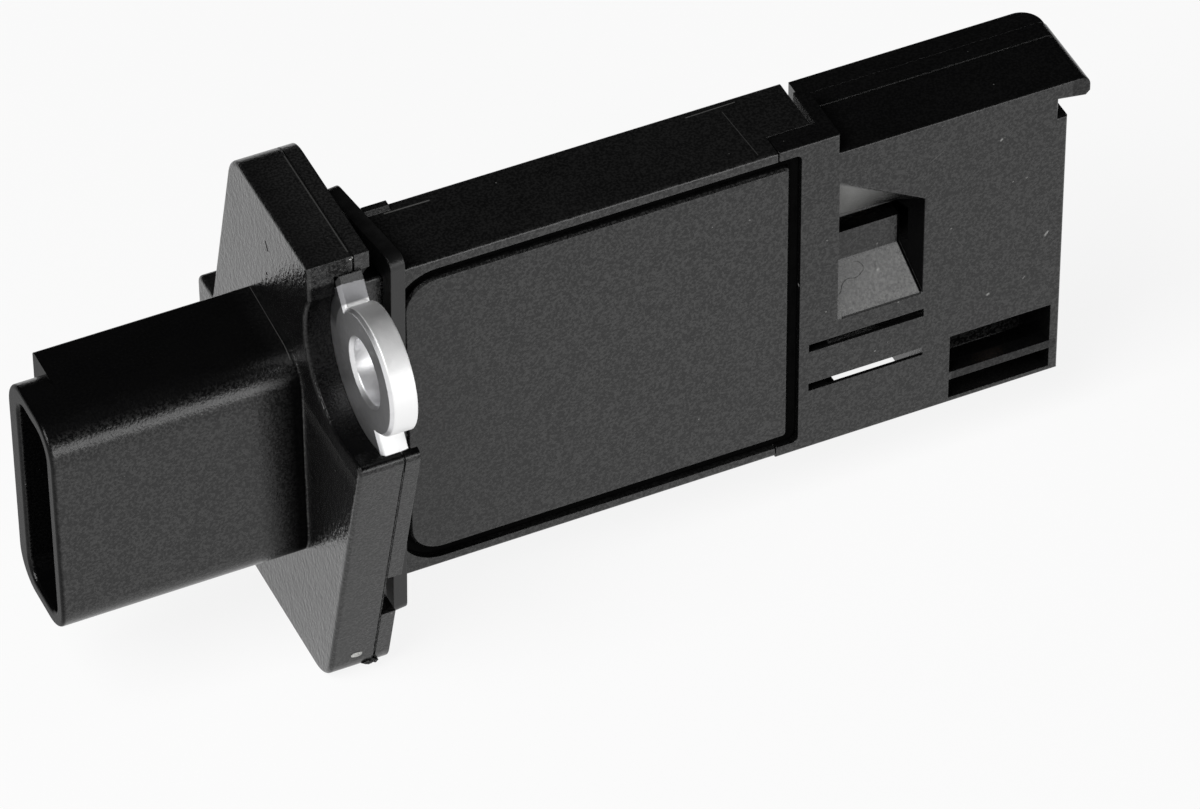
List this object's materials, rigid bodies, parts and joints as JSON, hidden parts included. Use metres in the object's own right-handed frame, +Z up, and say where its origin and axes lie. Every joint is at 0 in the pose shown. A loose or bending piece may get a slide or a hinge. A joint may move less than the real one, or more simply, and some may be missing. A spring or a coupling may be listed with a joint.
{
  "type": "mass airflow sensor",
  "caption": "Plug-in mass airflow sensor with a plug socket, a bolted flange, a glued electronics cover and a hooded bypass tip with an air inlet window.",
  "frame": {"origin": "centre of the bolt circle on the flange's seating face", "axes": "+X from the plug socket to the tip, -Y out of the cover, +Z up across the probe's width"},
  "size_m": [0.088, 0.0348, 0.0428],
  "materials": {
    "housing_plastic": "satin moulded black",
    "tip_plastic": "satin moulded black",
    "cover_plastic": "satin moulded black",
    "glue": "cured silicone",
    "bush_steel": "bright zinc plate",
    "seal_rubber": "matte",
    "board_ceramic": "matte ceramic",
    "chip_resin": "matte",
    "resistor_film": "glazed film",
    "capacitor_ceramic": "matte",
    "element_ceramic": "matte ceramic",
    "film_glass": "polished chip",
    "bead_glass": "dipped resin",
    "lead_wire": "tinned",
    "terminal_brass": "tin plate over brass"
  },
  "bodies": {
    "root": {"main_housing": "housing_plastic", "bypass_shell": "tip_plastic", "bypass_cover": "tip_plastic", "cover_plate": "cover_plastic", "cover_glue": "glue", "front_bush": "bush_steel", "rear_bush": "bush_steel", "root_seal": "seal_rubber", "circuit_board": "board_ceramic", "signal_chip": "chip_resin", "trimmed_resistor": "resistor_film", "element_tongue": "element_ceramic", "heated_film": "film_glass", "temperature_bead": "bead_glass", "bead_lead_left": "lead_wire", "bead_lead_right": "lead_wire", "terminal_1": "terminal_brass", "terminal_2": "terminal_brass", "terminal_3": "terminal_brass", "terminal_4": "terminal_brass", "terminal_5": "terminal_brass", "capacitor_1": "capacitor_ceramic", "capacitor_2": "capacitor_ceramic", "capacitor_3": "capacitor_ceramic", "capacitor_4": "capacitor_ceramic"}
  },
  "joints": []
}
